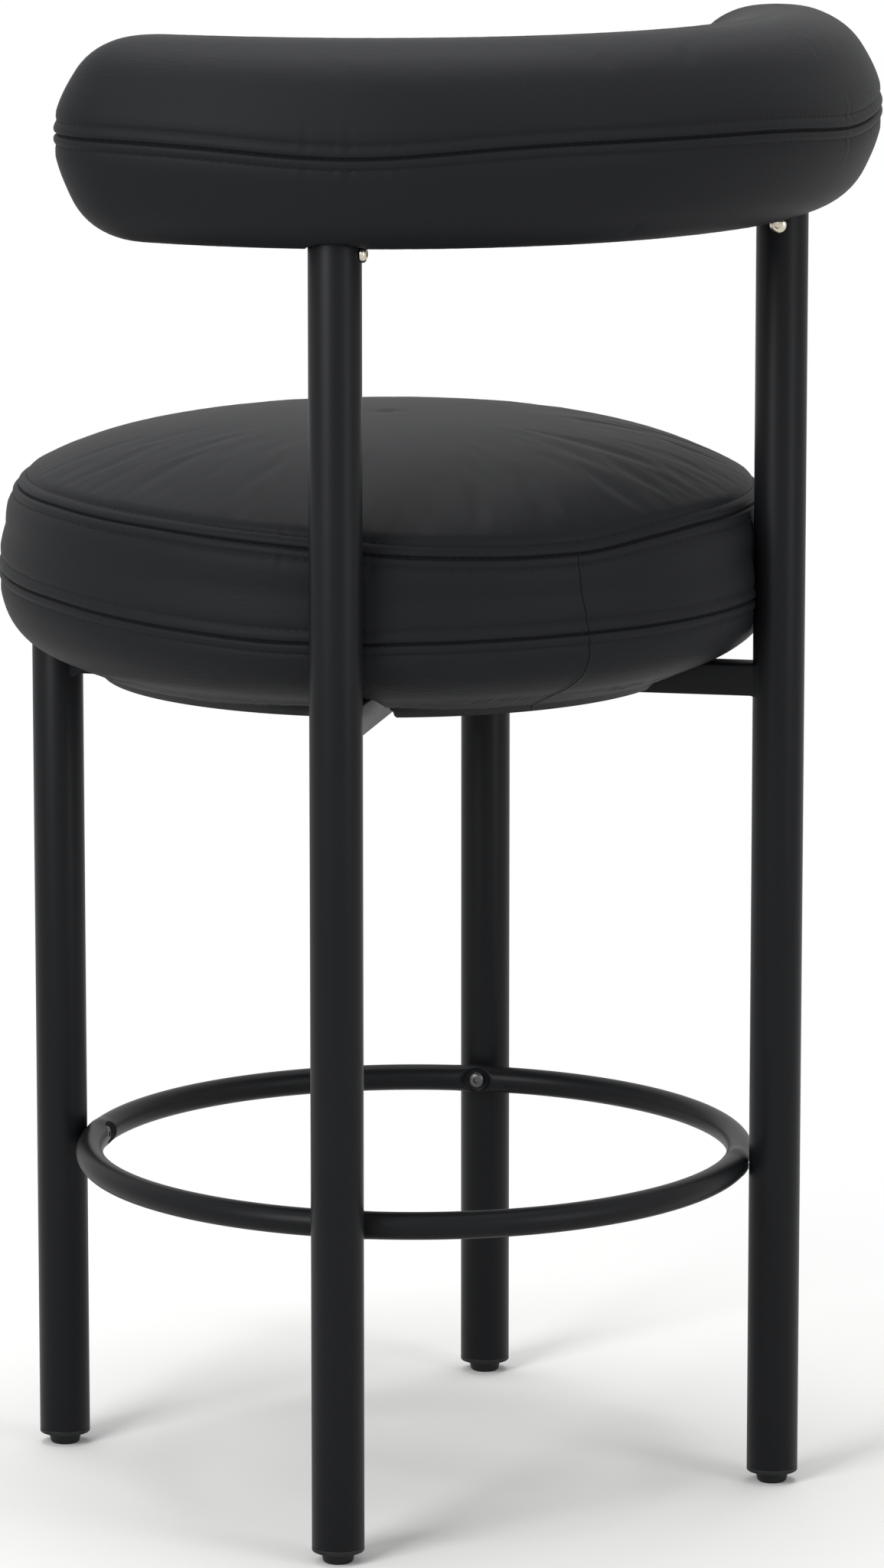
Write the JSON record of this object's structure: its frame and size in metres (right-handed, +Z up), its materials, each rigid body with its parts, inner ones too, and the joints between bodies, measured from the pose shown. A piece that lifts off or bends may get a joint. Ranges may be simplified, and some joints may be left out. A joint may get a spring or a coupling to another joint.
{
  "type": "bar stool with footrest",
  "caption": "Counter-height stool with a thick round padded seat, a curved bolster backrest on tall rear legs, a round tube footrest and levelling feet.",
  "frame": {"origin": "on the floor, at the centre of the square of four legs, under the middle of the stool's box", "axes": "+Z up; the sitter faces -Y, the backrest is at +Y; X runs from side to side"},
  "size_m": [0.574, 0.541, 0.923],
  "materials": {
    "frame_metal": "matte black powder coat",
    "black_plastic": "moulded, matte black",
    "faux_leather": "black faux leather, satin, fine grain",
    "foam": "upholstery foam",
    "dust_fabric": "black non-woven dust cover",
    "plywood": "birch plywood",
    "zinc_steel": "zinc plated",
    "black_screws": "black oxide",
    "nickel_screws": "nickel plated"
  },
  "bodies": {
    "frame": {"leg_front_left": "frame_metal", "end_cap_front_left": "black_plastic", "leg_front_right": "frame_metal", "end_cap_front_right": "black_plastic", "leg_rear_right": "frame_metal", "end_cap_rear_right": "black_plastic", "leg_rear_left": "frame_metal", "end_cap_rear_left": "black_plastic", "end_cap_nuts": "zinc_steel", "leg_plug_front_left": "black_plastic", "leg_plug_front_right": "black_plastic", "crossbar_main": "frame_metal", "crossbar_left": "frame_metal", "crossbar_right": "frame_metal", "footrest_ring": "frame_metal", "footrest_screws": "black_screws", "footrest_rivet_nuts": "zinc_steel", "seat_board": "plywood", "seat_dust_cover": "dust_fabric", "seat_foam": "foam", "seat_cover_top": "faux_leather", "seat_cover_band": "faux_leather", "seat_cover_base": "faux_leather", "seat_screws": "black_screws", "seat_washers": "zinc_steel", "seat_tee_nuts": "zinc_steel", "back_rail": "frame_metal", "back_stem_left": "frame_metal", "back_stem_right": "frame_metal", "back_foam": "foam", "back_cover_upper": "faux_leather", "back_cover_lower": "faux_leather", "back_screws": "nickel_screws"},
    "foot_front_left": {"glide_front_left": "black_plastic", "glide_stud_front_left": "zinc_steel"},
    "foot_front_right": {"glide_front_right": "black_plastic", "glide_stud_front_right": "zinc_steel"},
    "foot_rear_right": {"glide_rear_right": "black_plastic", "glide_stud_rear_right": "zinc_steel"},
    "foot_rear_left": {"glide_rear_left": "black_plastic", "glide_stud_rear_left": "zinc_steel"}
  },
  "joints": [
    {"name": "level_front_left", "type": "slide", "parent": "frame", "child": "foot_front_left", "axis": [0, 0, -1], "range_m": [0, 0.008]},
    {"name": "level_front_right", "type": "slide", "parent": "frame", "child": "foot_front_right", "axis": [0, 0, -1], "range_m": [0, 0.008]},
    {"name": "level_rear_right", "type": "slide", "parent": "frame", "child": "foot_rear_right", "axis": [0, 0, -1], "range_m": [0, 0.008]},
    {"name": "level_rear_left", "type": "slide", "parent": "frame", "child": "foot_rear_left", "axis": [0, 0, -1], "range_m": [0, 0.008]}
  ]
}
